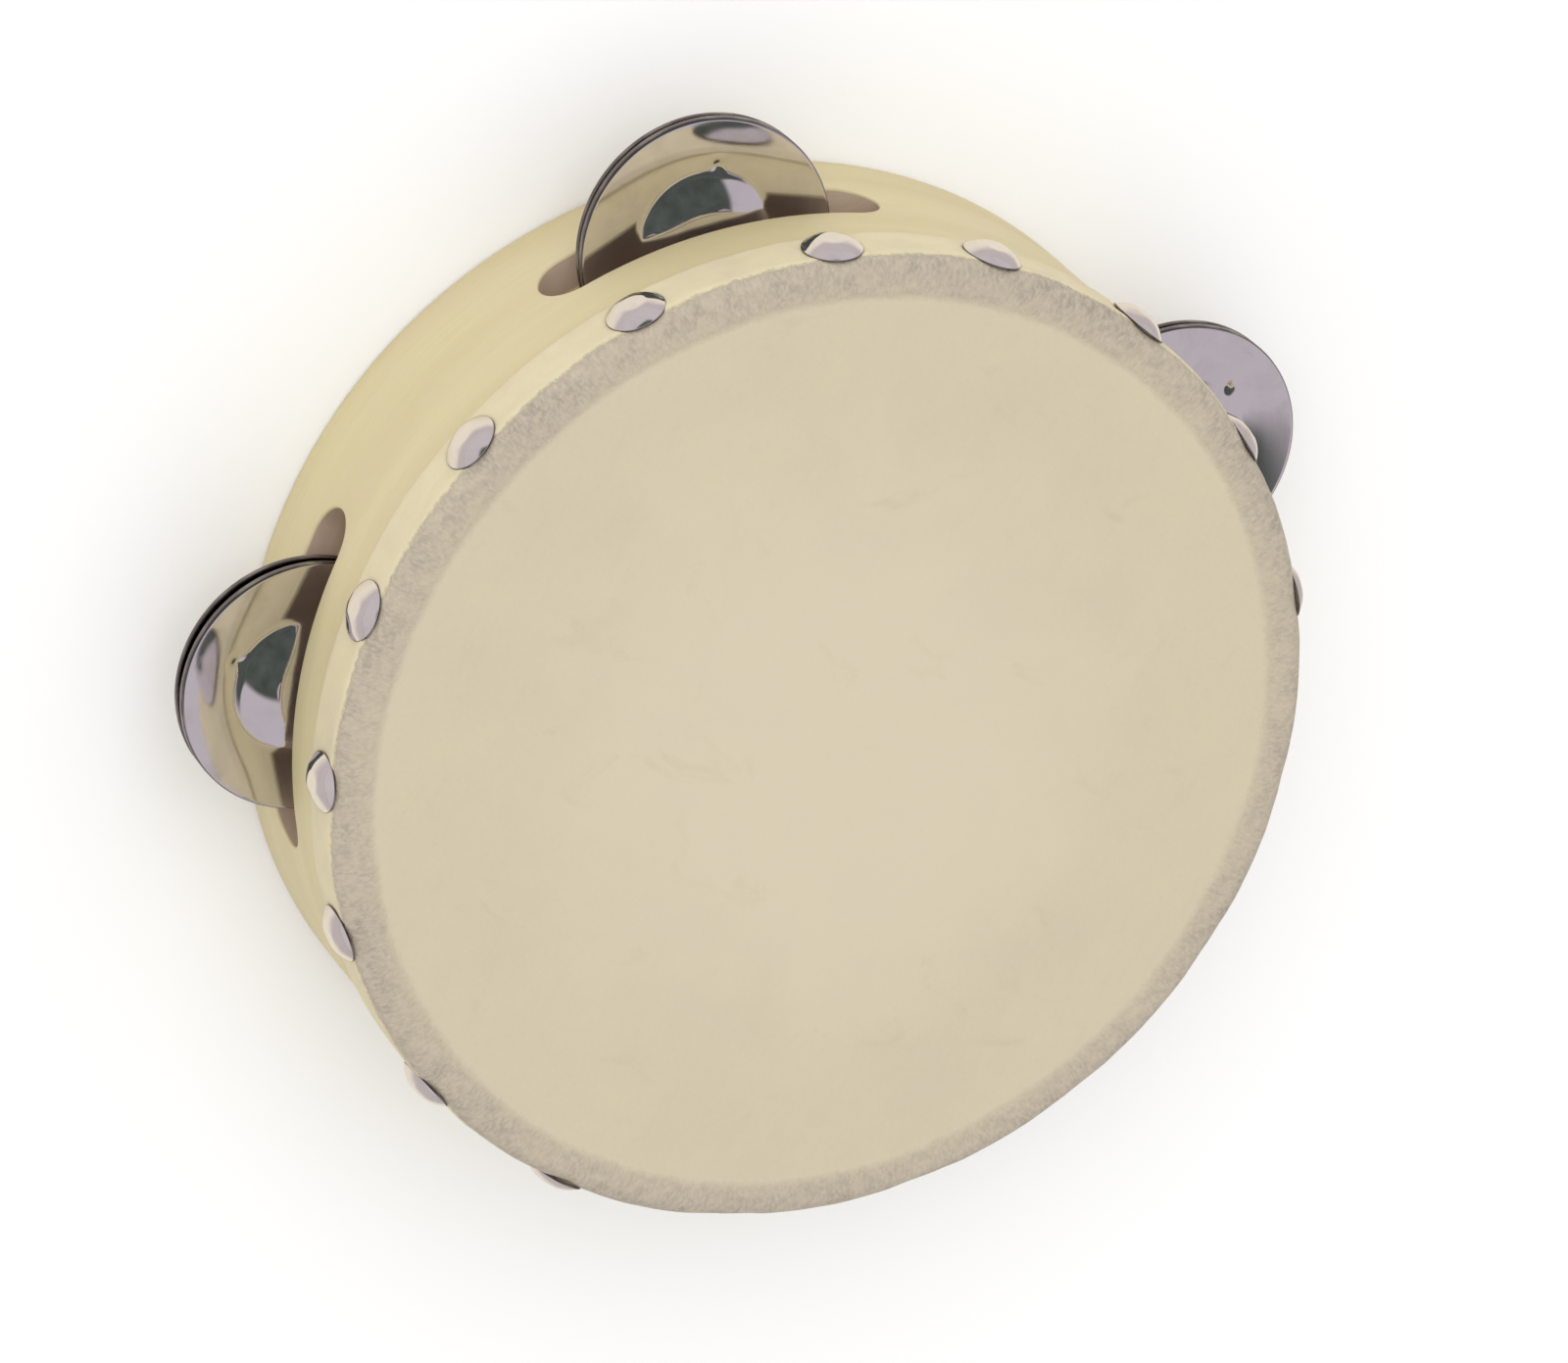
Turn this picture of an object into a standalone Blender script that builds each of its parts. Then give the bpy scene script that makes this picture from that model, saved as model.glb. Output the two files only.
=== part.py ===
"""Hand tambourine: a wooden shell, a tacked hide head, and pairs of jingles on steel pins.

The drum lies on its open back rim. The origin is the centre of that rim, +Z is the drum's
axis towards the head, and the blank stretch of shell that the hand grips faces -Y.
"""
from math import cos, pi, radians, sin, sqrt

import bmesh
import bpy
from mathutils import Matrix, Vector

# Shell: a bent ring of wood.
SHELL_RADIUS = 0.0750
SHELL_WALL = 0.0055
SHELL_DEPTH = 0.0425
SHELL_EDGE = 0.0004
SHELL_FRONT_ROUND = 0.0018

# Head: hide stretched over the front edge and folded down the outside.
SKIN_THICKNESS = 0.0007
SKIN_WRAP = 0.0110

# Space left between two pieces that touch on the real drum.
FIT_GAP = 0.0003

# Slots, evenly pitched except for the grip, where one is left out.
SLOT_COUNT = 4
SLOT_PITCH_DEG = 73.5
SLOT_LENGTH = 0.0520
SLOT_HEIGHT = 0.0102
SLOT_MIDDLE_Z = 0.0174

# Jingles: pressed sheet with a dome in the middle, a dished flange and a turned-back lip.
JINGLE_RADIUS = 0.0192
JINGLE_SHEET = 0.0004
JINGLE_DOME_RADIUS = 0.0108
JINGLE_DOME_HEIGHT = 0.0028
JINGLE_DISH_RADIUS = 0.0155
JINGLE_DISH_DEPTH = 0.0006
JINGLE_DISH_SHARE = 0.7
JINGLE_LIP = 0.0011
JINGLE_BORE = 0.0022
JINGLE_UPPER_Z = 0.0193
JINGLE_LOWER_Z = 0.0167

# Where each loose pair has come to rest: outwards and along the shell from its pin, and how
# far its lower jingle has dropped.
JINGLE_REST = (
    (0.0000, 0.0000, 0.0004),
    (-0.0006, -0.0004, 0.0002),
    (0.0000, 0.0011, 0.0000),
    (0.0003, 0.0005, 0.0010),
)

# Pins that the jingles hang on, driven down through the front edge of the shell.
PIN_RADIUS = 0.0009
PIN_CENTRE_RADIUS = 0.0716
PIN_BOTTOM_Z = 0.0063
PIN_TOP_INSET = 0.0004

# Tacks: dome-headed nails through the folded hide.
TACK_HEAD_RADIUS = 0.0045
TACK_HEAD_HEIGHT = 0.0019
TACK_RIM = 0.0003
TACK_SHANK_RADIUS = 0.0006
TACK_SHANK_LENGTH = 0.0050
TACK_POINT = 0.0012
TACK_BELOW_FACE = 0.0049
TACK_ANGLES_DEG = (
    16.5, 38.5, 59.0, 79.0, 99.5, 118.5, 141.5, 164.0, 185.5,
    205.5, 224.0, 246.5, 267.0, 289.0, 311.0, 332.5, 354.5,
)

# Facets round one turn.
RING_STEPS = 72
JINGLE_STEPS = 28
TACK_STEPS = 12
PIN_STEPS = 12
HOLE_STEPS = 12
SLOT_END_STEPS = 8
ROUND_STEPS = 4
DOME_STEPS = 3

# Sizes that follow from the ones above.
SKIN_INNER = SHELL_RADIUS + FIT_GAP
SKIN_RADIUS = SKIN_INNER + SKIN_THICKNESS
SKIN_UNDER_Z = SHELL_DEPTH + FIT_GAP
FACE_Z = SKIN_UNDER_Z + SKIN_THICKNESS
TACK_Z = FACE_Z - TACK_BELOW_FACE
TACK_SEAT = SKIN_RADIUS + FIT_GAP
TACK_HOLE_BOTTOM = TACK_SEAT - TACK_SHANK_LENGTH - 2 * FIT_GAP
CUT_MARGIN = 0.005


def clear_scene():
    for item in list(bpy.data.objects):
        bpy.data.objects.remove(item, do_unlink=True)


def make_material(name, colour, roughness, metallic):
    material = bpy.data.materials.new(name)
    material.use_nodes = True
    surface = material.node_tree.nodes["Principled BSDF"]
    surface.inputs["Base Color"].default_value = (*colour, 1.0)
    surface.inputs["Roughness"].default_value = roughness
    surface.inputs["Metallic"].default_value = metallic
    return material


def add_object(name, mesh, material, parent=None):
    thing = bpy.data.objects.new(name, mesh)
    if material and not mesh.materials:
        mesh.materials.append(material)
    thing.parent = parent
    bpy.context.scene.collection.objects.link(thing)
    return thing


def finish_mesh(shape, name):
    """Turn a bmesh into a mesh with outward faces, smooth across its gentle edges."""
    bmesh.ops.recalc_face_normals(shape, faces=shape.faces)
    mesh = bpy.data.meshes.new(name)
    shape.to_mesh(mesh)
    shape.free()
    mesh.shade_smooth()
    mesh.set_sharp_from_angle(angle=radians(35))
    return mesh


def arc(centre, radius, start_deg, end_deg, steps):
    """Points (r, z) along an arc, both ends included."""
    points = []
    for i in range(steps + 1):
        turn = radians(start_deg + (end_deg - start_deg) * i / steps)
        points.append((centre[0] + radius * cos(turn), centre[1] + radius * sin(turn)))
    return points


def turned_mesh(name, profile, steps):
    """Turn a closed (r, z) profile round Z. Points on the axis become single vertices."""
    shape = bmesh.new()
    rings = []
    for r, z in profile:
        if r < 1e-9:
            rings.append([shape.verts.new((0, 0, z))] * steps)
            continue
        turns = [2 * pi * i / steps for i in range(steps)]
        rings.append([shape.verts.new((r * cos(a), r * sin(a), z)) for a in turns])
    for this, after in zip(rings, rings[1:] + rings[:1]):
        for i in range(steps):
            j = (i + 1) % steps
            corners = list(dict.fromkeys((this[i], this[j], after[j], after[i])))
            if len(corners) > 2:
                shape.faces.new(corners)
    return finish_mesh(shape, name)


def subtract(target, cutter):
    cut = target.modifiers.new("cut_" + cutter.name, "BOOLEAN")
    cut.operation = "DIFFERENCE"
    cut.object = cutter


def make_cutter(name, shape):
    cutter = add_object(name, finish_mesh(shape, name), None)
    cutter.hide_render = True
    cutter.display_type = "WIRE"
    return cutter


def slot_angles():
    """Angles of the slots, spread evenly on both sides of +Y."""
    first = 90 - SLOT_PITCH_DEG * (SLOT_COUNT - 1) / 2
    return [first + SLOT_PITCH_DEG * i for i in range(SLOT_COUNT)]


def slot_outline():
    """A slot's round-ended outline, (along the shell, up)."""
    end = SLOT_HEIGHT / 2
    straight = SLOT_LENGTH / 2 - end
    right = arc((straight, 0), end, -90, 90, SLOT_END_STEPS)
    left = arc((-straight, 0), end, 90, 270, SLOT_END_STEPS)
    return right + left


def slot_cutter():
    """Prisms that leave the round-ended slots in the wall."""
    shape = bmesh.new()
    near = SHELL_RADIUS - SHELL_WALL - CUT_MARGIN
    far = SHELL_RADIUS + CUT_MARGIN
    for angle in slot_angles():
        outline = slot_outline()
        place = Matrix.Rotation(radians(angle), 4, "Z")
        verts = [
            shape.verts.new(place @ Vector((near, y, SLOT_MIDDLE_Z + z))) for y, z in outline
        ]
        face = shape.faces.new(verts)
        pushed = bmesh.ops.extrude_face_region(shape, geom=[face])["geom"]
        outward = place.to_3x3() @ Vector((far - near, 0, 0))
        moved = [item for item in pushed if isinstance(item, bmesh.types.BMVert)]
        bmesh.ops.translate(shape, verts=moved, vec=outward)
    return make_cutter("slot_cutter", shape)


def pin_hole_cutter():
    shape = bmesh.new()
    low = PIN_BOTTOM_Z - FIT_GAP
    high = SHELL_DEPTH + CUT_MARGIN
    for angle in slot_angles():
        place = Matrix.Rotation(radians(angle), 4, "Z")
        place @= Matrix.Translation((PIN_CENTRE_RADIUS, 0, (low + high) / 2))
        bmesh.ops.create_cone(
            shape, cap_ends=True, segments=HOLE_STEPS, radius1=PIN_RADIUS + FIT_GAP,
            radius2=PIN_RADIUS + FIT_GAP, depth=high - low, matrix=place,
        )
    return make_cutter("pin_hole_cutter", shape)


def tack_place(angle):
    """A tack's place: local +Z points out of the drum, at the seat of the head."""
    place = Matrix.Rotation(radians(angle), 4, "Z")
    place @= Matrix.Translation((TACK_SEAT, 0, TACK_Z))
    return place @ Matrix.Rotation(radians(90), 4, "Y")


def tack_hole_cutter():
    shape = bmesh.new()
    depth = TACK_SEAT + CUT_MARGIN - TACK_HOLE_BOTTOM
    middle = (TACK_SEAT + CUT_MARGIN + TACK_HOLE_BOTTOM) / 2 - TACK_SEAT
    for angle in TACK_ANGLES_DEG:
        place = tack_place(angle) @ Matrix.Translation((0, 0, middle))
        bmesh.ops.create_cone(
            shape, cap_ends=True, segments=HOLE_STEPS, radius1=TACK_SHANK_RADIUS + FIT_GAP,
            radius2=TACK_SHANK_RADIUS + FIT_GAP, depth=depth, matrix=place,
        )
    return make_cutter("tack_hole_cutter", shape)


def make_shell(wood):
    inner = SHELL_RADIUS - SHELL_WALL
    front = arc(
        (SHELL_RADIUS - SHELL_FRONT_ROUND, SHELL_DEPTH - SHELL_FRONT_ROUND),
        SHELL_FRONT_ROUND, 90, 0, ROUND_STEPS,
    )
    profile = [(inner, SHELL_DEPTH - SHELL_EDGE), (inner + SHELL_EDGE, SHELL_DEPTH)]
    profile += front
    profile += [(SHELL_RADIUS, SHELL_EDGE), (SHELL_RADIUS - SHELL_EDGE, 0)]
    profile += [(inner + SHELL_EDGE, 0), (inner, SHELL_EDGE)]
    return add_object("wood_shell", turned_mesh("wood_shell", profile, RING_STEPS), wood)


def make_head(hide):
    """The hide: flat across the front, rounded over the edge, straight down the wall."""
    fold = SHELL_FRONT_ROUND + FIT_GAP
    middle = (SKIN_INNER - fold, SKIN_UNDER_Z - fold)
    outside = arc(middle, fold + SKIN_THICKNESS, 90, 0, ROUND_STEPS)
    inside = arc(middle, fold, 0, 90, ROUND_STEPS)
    cut_edge = FACE_Z - SKIN_WRAP
    profile = [(0, FACE_Z)] + outside
    profile += [(SKIN_RADIUS, cut_edge), (SKIN_INNER, cut_edge)]
    profile += inside + [(0, SKIN_UNDER_Z)]
    return add_object("hide_head", turned_mesh("hide_head", profile, RING_STEPS), hide)


def tack_mesh():
    head = [(0, TACK_HEAD_HEIGHT)]
    for i in range(1, DOME_STEPS):
        lean = radians(90 * i / DOME_STEPS)
        rise = TACK_RIM + (TACK_HEAD_HEIGHT - TACK_RIM) * cos(lean)
        head.append((TACK_HEAD_RADIUS * sin(lean), rise))
    head += [(TACK_HEAD_RADIUS, TACK_RIM), (TACK_HEAD_RADIUS, 0)]
    shank = [(TACK_SHANK_RADIUS, 0), (TACK_SHANK_RADIUS, TACK_POINT - TACK_SHANK_LENGTH)]
    shank += [(0, -TACK_SHANK_LENGTH)]
    return turned_mesh("tack", head + shank, TACK_STEPS)


def make_tacks(nickel):
    mesh = tack_mesh()
    for number, angle in enumerate(TACK_ANGLES_DEG, start=1):
        tack = add_object(f"tack_{number:02d}", mesh, nickel)
        tack.matrix_world = tack_place(angle)


def make_pin(name, angle, steel):
    top = SHELL_DEPTH - PIN_TOP_INSET
    profile = [(0, top), (PIN_RADIUS, top), (PIN_RADIUS, PIN_BOTTOM_Z), (0, PIN_BOTTOM_Z)]
    pin = add_object(name, turned_mesh(name, profile, PIN_STEPS), steel)
    turn = radians(angle)
    pin.location = (PIN_CENTRE_RADIUS * cos(turn), PIN_CENTRE_RADIUS * sin(turn), 0)
    return pin


def pressed_outline(lift):
    """The dome from the bore to its foot, then the dished flange, moved up by lift."""
    sphere = (JINGLE_DOME_RADIUS**2 + JINGLE_DOME_HEIGHT**2) / (2 * JINGLE_DOME_HEIGHT)
    foot = lift - JINGLE_DISH_DEPTH
    points = []
    for i in range(DOME_STEPS + 1):
        r = JINGLE_BORE + (JINGLE_DOME_RADIUS - JINGLE_BORE) * i / DOME_STEPS
        rise = sqrt(sphere**2 - r**2) - (sphere - JINGLE_DOME_HEIGHT)
        points.append((r, foot + rise))
    points.append((JINGLE_DISH_RADIUS, foot + JINGLE_DISH_SHARE * JINGLE_DISH_DEPTH))
    return points


def jingle_mesh():
    """A jingle with the top of its rim at z = 0, dome up and lip turned down."""
    rim = JINGLE_RADIUS
    top = pressed_outline(0)
    top += [(rim - JINGLE_SHEET, 0), (rim, -JINGLE_SHEET), (rim, -JINGLE_LIP)]
    under = [(rim - JINGLE_SHEET, -JINGLE_LIP), (rim - JINGLE_SHEET, -JINGLE_SHEET)]
    under += reversed(pressed_outline(-JINGLE_SHEET))
    return turned_mesh("jingle", top + under, JINGLE_STEPS)


def make_jingles(steel, nickel):
    """Two jingles hanging loosely on each pin, rim to rim."""
    mesh = jingle_mesh()
    for number, (angle, rest) in enumerate(zip(slot_angles(), JINGLE_REST), start=1):
        make_pin(f"jingle_pin_{number}", angle, steel)
        out, along, drop = rest
        spot = Matrix.Rotation(radians(angle), 3, "Z") @ Vector((PIN_CENTRE_RADIUS + out, along, 0))
        upper = add_object(f"jingle_{number}_upper", mesh, nickel)
        upper.location = (spot.x, spot.y, JINGLE_UPPER_Z)
        lower = add_object(f"jingle_{number}_lower", mesh, nickel)
        lower.location = (spot.x, spot.y, JINGLE_LOWER_Z - drop)
        lower.rotation_euler = (pi, 0, 0)


def main():
    clear_scene()
    wood = make_material("birch", (0.72, 0.62, 0.38), 0.55, 0.0)
    hide = make_material("hide", (0.66, 0.58, 0.42), 0.6, 0.0)
    nickel = make_material("nickel", (0.75, 0.73, 0.72), 0.12, 1.0)
    steel = make_material("steel", (0.45, 0.44, 0.43), 0.35, 1.0)
    tack_holes = tack_hole_cutter()
    shell = make_shell(wood)
    subtract(shell, slot_cutter())
    subtract(shell, pin_hole_cutter())
    subtract(shell, tack_holes)
    head = make_head(hide)
    subtract(head, tack_holes)
    make_tacks(nickel)
    make_jingles(steel, nickel)


main()
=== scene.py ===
"""Looks of the hand tambourine: fine meshes, materials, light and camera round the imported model.

The drum lies on its open back rim at z = 0, with the hide head facing +Z. Sizes are in metres.
"""

from math import asin, atan2, cos, exp, hypot, pi, radians, sin, sqrt

import bmesh
import bpy
import numpy as np
from mathutils import Matrix, Vector, noise
from mathutils.geometry import delaunay_2d_cdt


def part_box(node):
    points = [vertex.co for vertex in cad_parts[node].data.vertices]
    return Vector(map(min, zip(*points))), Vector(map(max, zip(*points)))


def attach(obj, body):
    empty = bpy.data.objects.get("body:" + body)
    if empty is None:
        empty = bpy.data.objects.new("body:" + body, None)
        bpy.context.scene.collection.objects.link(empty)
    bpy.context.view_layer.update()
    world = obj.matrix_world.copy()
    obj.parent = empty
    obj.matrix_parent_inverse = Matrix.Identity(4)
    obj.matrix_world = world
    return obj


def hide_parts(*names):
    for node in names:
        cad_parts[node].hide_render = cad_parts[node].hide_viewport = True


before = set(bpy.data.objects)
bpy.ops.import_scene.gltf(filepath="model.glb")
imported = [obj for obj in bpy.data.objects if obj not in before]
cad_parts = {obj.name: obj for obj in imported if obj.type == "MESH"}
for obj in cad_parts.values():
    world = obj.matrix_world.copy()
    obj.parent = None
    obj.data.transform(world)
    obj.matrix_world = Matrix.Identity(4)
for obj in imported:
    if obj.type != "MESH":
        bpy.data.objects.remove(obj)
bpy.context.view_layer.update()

# Camera, as it stands to the drum.
CAMERA_AZIMUTH = 159.14
CAMERA_ELEVATION = 57.29
CAMERA_ROLL = 136.13
CAMERA_DISTANCE = 1.1778
CAMERA_SENSOR = 36.0
CAMERA_LENS = 188.14
CAMERA_CLIP = 0.05, 20.0
CAMERA_AIM = (-0.01225, 0.00685)

# Studio light, with directions in degrees.
SKY_STRENGTH = 0.95
SKY_COLOUR = (1.0, 0.99, 0.975)
KEY_AZIMUTH = 140
KEY_ELEVATION = 50
KEY_DISTANCE = 2.0
KEY_SIZE = 1.8
KEY_POWER = 13
GLOW_POWER = 0.045
GLOW_SIZE = 0.03
GLOW_COLOUR = (1.0, 0.93, 0.82)

# What bright metal sees of the studio: a plain sky with a dim stretch of ceiling.
MIRRORED_SKY = (0.62, 0.575, 0.615)
CEILING_DARK = (0.03, 0.04, 0.032)
CEILING_PALE = (0.15, 0.17, 0.155)
CEILING_AZIMUTH = 139
CEILING_ELEVATION = 72
CEILING_SPREAD = 45
CEILING_SOFT = 3
CEILING_CLOUDS = 4.0

# Floor, and the distances from the drum's middle between which its painted reflection changes
# colour.
FLOOR_HALF = 4.0
FLOOR_DROP = 0.0002
FLOOR_NEAR = 0.095
FLOOR_FAR = 0.175

# Shell of bent birch.
TURN_STEPS = 360
WALL_ROW = 0.0016
SLOT_EDGE_ROUND = 0.00045
RIM_ROUND = 0.0008
ROUND_STEPS = 4
SLOT_ARC_STEPS = 22
SLOT_SIDE_STEPS = 40
SLOT_WALL_STEPS = 8
SEAM_ANGLE = radians(-90)

# The shell's two finishes: sanded faces, and the bare cut walls of its slots.
SANDED, CUT = 0, 1

# Hide head: its section.
HIDE_STEPS = 720
HIDE_THICKNESS = 0.0007
HIDE_FOLD = 0.0028
HIDE_CONTACT = 0.00003
HIDE_TAPER = 0.0014
HIDE_TAPER_INSIDE = 0.0015
HIDE_CUT = 0.00045
FOLD_STEPS = 12
FACE_END = 0.0685
FACE_ROW = 0.0022
EDGE_ROW = 0.0004
SIDE_ROW = 0.00045
TAPER_ROW = 0.0003
INSIDE_ROW = 0.0011

# Hide head: how far its surface strays, and the distances from the axis where that starts.
FACE_SAG = 0.00018
FACE_SAG_EDGE = 0.0692, 0.0712
FACE_WAVE = 0.00008
BAND_PUCKER = 0.00005
BAND_PUCKER_EDGE = 0.0695, 0.0712
CUT_WAVE = 0.00035
CUT_LIFT = 0.00003
SIDE_RIPPLE = 0.00012
SIDE_RIPPLE_EDGE = 0.0754, 0.0757

# The dimple round each tack, and the small folds that run into it.
DIMPLE_DEPTH = 0.00036
DIMPLE_WIDTH = 0.0052
DIMPLE_FOLD = 0.00006
DIMPLE_FOLD_AT = 0.0062
DIMPLE_FOLD_WIDTH = 0.0024
DIMPLE_TURN = 0.2
DIMPLE_START = 0.072

# The hide's grey band, measured along the hide from the middle of the head.
BAND_START = 0.0700
BAND_END = 0.0764
BAND_START_SOFT = 0.0009
BAND_END_SOFT = 0.0004
BAND_FADE = 0.0055
BAND_SWAY = 0.0014
BAND_RAGGED = 0.0016

# Tacks. Each head is hammered flat out to TACK_FLAT from its middle, and a little dented.
TACK_STEPS = 64
TACK_DOME_STEPS = 18
TACK_EDGE_STEPS = 5
TACK_SHANK = 0.0006
TACK_POINT = 0.0012
TACK_RISE = 0.0018
TACK_EDGE = 0.00014
TACK_SINK = 0.0001
TACK_LEAN_DEG = 4.0
TACK_JOLT_DEG = 2.5
TACK_FLAT = 0.0017
TACK_FLAT_SHARE = 0.75
TACK_FLAT_SLOPE = 0.12
TACK_DENT = 0.00016
TACK_FINE_DENT = 0.00006
TACK_DENT_EDGE = 0.0014

# The tacks on one side are driven lower and deeper.
TACK_DEEP_ANGLE = radians(333)
TACK_DEEP_REACH = radians(62), radians(47)
TACK_DEEP_LEAN_DEG = 4.0
TACK_DEEP_DROP = 0.0011
TACK_DEEP_SINK = 0.0005

# Jingles: the slope of the pressed face, in degrees, by distance from the pin.
JINGLE_STEPS = 192
JINGLE_SHEET = 0.0003
JINGLE_LIP = 0.0011
JINGLE_LIP_BEVEL = 0.00012
JINGLE_EDGE_ROUND = 0.00035
JINGLE_EDGE_STEPS = 6
JINGLE_UNEVEN = 0.000015
JINGLE_WARP = 0.00002
JINGLE_WARP_START = 0.010
JINGLE_SLOPES = (
    (0.0, 0), (0.0045, -7), (0.0098, -36), (0.0104, -10), (0.0110, 0), (0.0114, 8),
    (0.0150, 5.5), (0.0192, 4.2),
)
JINGLE_ROW = 0.00022

# A small dent at the foot of each dome. On the upper jingle of each pair it is turned from
# straight outwards by so much, and on the lower one it lies a quarter turn further on.
DENT_AT = 0.0117
DENT_WIDTH = 0.0009
DENT_DEPTH = 0.00036
DENT_TURNS_DEG = (10, 22, -18, -17)
DENT_TURN_BETWEEN = radians(90)

# Pins.
PIN_STEPS = 32
PIN_ROW = 0.002

# Birch: its pale, deep and pink grain.
BIRCH = (0.65, 0.57, 0.333), (0.58, 0.495, 0.274), (0.615, 0.53, 0.36)
CUT_BIRCH = (0.55, 0.44, 0.335), (0.41, 0.32, 0.245), (0.475, 0.37, 0.315)

# Bright metal: its tint, the dark colour painted on its rim as shade, its least and most
# roughness, and how far from its middle a piece's painted rim shade starts.
TACK_NICKEL = (0.84, 0.80, 0.77), (0.12, 0.10, 0.10), (0.07, 0.14), 0.00440
JINGLE_NICKEL = (0.73, 0.70, 0.715), (0.16, 0.14, 0.145), (0.05, 0.10), 0.01898
PIN_STEEL = (0.45, 0.43, 0.41), (0.30, 0.28, 0.27), (0.25, 0.40), 0.00085
RIM_SHADE_SOFT = 0.00008


# ---------------------------------------------------------------- reading the frame

def node_points(name):
    return np.array([v.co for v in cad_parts[name].data.vertices])


def node_radii(name):
    """Smallest and largest distance of a node's points from the drum's axis."""
    distance = np.hypot(*node_points(name)[:, :2].T)
    return distance.min(), distance.max()


def nodes_named(start):
    return sorted(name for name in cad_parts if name.startswith(start))


def shell_slots():
    """Each slot's angle, half length, and lowest and highest z.

    They are read off the points of the shell's outer face that lie between its two rims and
    below the tacks' holes, because only the slots have points there.
    """
    points = node_points("wood_shell")
    distance = np.hypot(points[:, 0], points[:, 1])
    depth = points[:, 2].max()
    on_slot = (distance > distance.max() - 2e-4) & (points[:, 2] > 0.1 * depth)
    on_slot &= points[:, 2] < 0.7 * depth
    points = points[on_slot]
    slots = []
    for name in nodes_named("jingle_pin"):
        x, y, _ = node_points(name).mean(axis=0)
        angle = atan2(y, x)
        along = points[:, 0] * cos(angle) + points[:, 1] * sin(angle)
        across = points[:, 1] * cos(angle) - points[:, 0] * sin(angle)
        near = along > 0.7 * distance.max()
        slots.append((
            angle, abs(across[near]).max(), points[near, 2].min(), points[near, 2].max(),
        ))
    return slots


# ---------------------------------------------------------------- mesh building

def add_to_scene(name, data):
    thing = bpy.data.objects.new(name, data)
    bpy.context.scene.collection.objects.link(thing)
    return thing


class Surface:
    """Points, each with a grain position for its material, and the faces between them.

    A face's finish is the place of its material in the list that make() is given.
    """

    def __init__(self):
        self.points = []
        self.grain = []
        self.faces = []
        self.finish = []

    def add(self, points, grain, faces, finish=0):
        start = len(self.points)
        self.points += points
        self.grain += grain
        self.faces += [[start + i for i in face] for face in faces]
        self.finish += [finish] * len(faces)

    def add_rows(self, rows, grain_rows, finish=0):
        """Add quads between rows that have the same number of points."""
        width = len(rows[0])
        faces = []
        for row in range(len(rows) - 1):
            for i in range(width - 1):
                a = row * width + i
                faces.append((a, a + 1, a + width + 1, a + width))
        points = [p for row in rows for p in row]
        grain = [g for row in grain_rows for g in row]
        self.add(points, grain, faces, finish)

    def make(self, name, materials, sharp_deg=40):
        """Weld the points into one mesh and put it in the scene."""
        mesh = bpy.data.meshes.new(name)
        mesh.from_pydata(self.points, [], self.faces)
        mesh.update()
        layer = mesh.uv_layers.new(name="grain")
        corner = np.zeros(len(mesh.loops), np.int32)
        mesh.loops.foreach_get("vertex_index", corner)
        layer.data.foreach_set("uv", np.array(self.grain, np.float32)[corner].ravel())
        for material in materials:
            mesh.materials.append(material)
        mesh.polygons.foreach_set("material_index", self.finish)
        shape = bmesh.new()
        shape.from_mesh(mesh)
        bmesh.ops.remove_doubles(shape, verts=shape.verts, dist=2e-6)
        bmesh.ops.recalc_face_normals(shape, faces=shape.faces)
        shape.to_mesh(mesh)
        shape.free()
        mesh.shade_smooth()
        mesh.set_sharp_from_angle(angle=radians(sharp_deg))
        return add_to_scene(name, mesh)


def arc(centre, radius, start_deg, end_deg, steps):
    """Points along an arc, both ends included."""
    points = []
    for i in range(steps + 1):
        turn = radians(start_deg + (end_deg - start_deg) * i / steps)
        points.append((centre[0] + radius * cos(turn), centre[1] + radius * sin(turn)))
    return points


def run(start, end, step):
    """Points on a straight line about a step apart, without its last point."""
    count = max(1, round(hypot(end[0] - start[0], end[1] - start[1]) / step))
    return [
        (start[0] + (end[0] - start[0]) * i / count, start[1] + (end[1] - start[1]) * i / count)
        for i in range(count)
    ]


def smooth(x, low, high):
    """0 below low and 1 above high, with a smooth step between them."""
    t = min(1.0, max(0.0, (x - low) / (high - low)))
    return t * t * (3 - 2 * t)


def turned(name, profile, steps, materials, reshape=None, sharp_deg=40):
    """Turn an (r, z) profile round Z, and let reshape move each point."""
    surface = Surface()
    rows = []
    grain_rows = []
    travelled = 0.0
    for i, (r, z) in enumerate(profile):
        if i:
            travelled += hypot(r - profile[i - 1][0], z - profile[i - 1][1])
        row = []
        for k in range(steps + 1):
            turn = 2 * pi * (k % steps) / steps
            point = Vector((r * cos(turn), r * sin(turn), z))
            row.append(reshape(point, i, turn) if reshape else point)
        rows.append(row)
        grain_rows.append([(k / steps, travelled) for k in range(steps + 1)])
    surface.add_rows(rows, grain_rows)
    return surface.make(name, materials, sharp_deg)


# ---------------------------------------------------------------- shell

def slot_outline(slot, grow):
    """A slot's round-ended outline grown by a margin, as (across, z) points."""
    _, half_length, low, high = slot
    end = (high - low) / 2
    middle = (high + low) / 2
    straight = half_length - end
    radius = end + grow
    right = arc((straight, middle), radius, -90, 90, SLOT_ARC_STEPS)
    left = arc((-straight, middle), radius, 90, 270, SLOT_ARC_STEPS)
    top = run(right[-1], left[0], 2 * straight / SLOT_SIDE_STEPS)[1:]
    bottom = run(left[-1], right[0], 2 * straight / SLOT_SIDE_STEPS)[1:]
    return right + top + left + bottom


def swing_from(angle, turn):
    """The turn from one angle to another, the short way round."""
    return (turn - angle + pi) % (2 * pi) - pi


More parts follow.
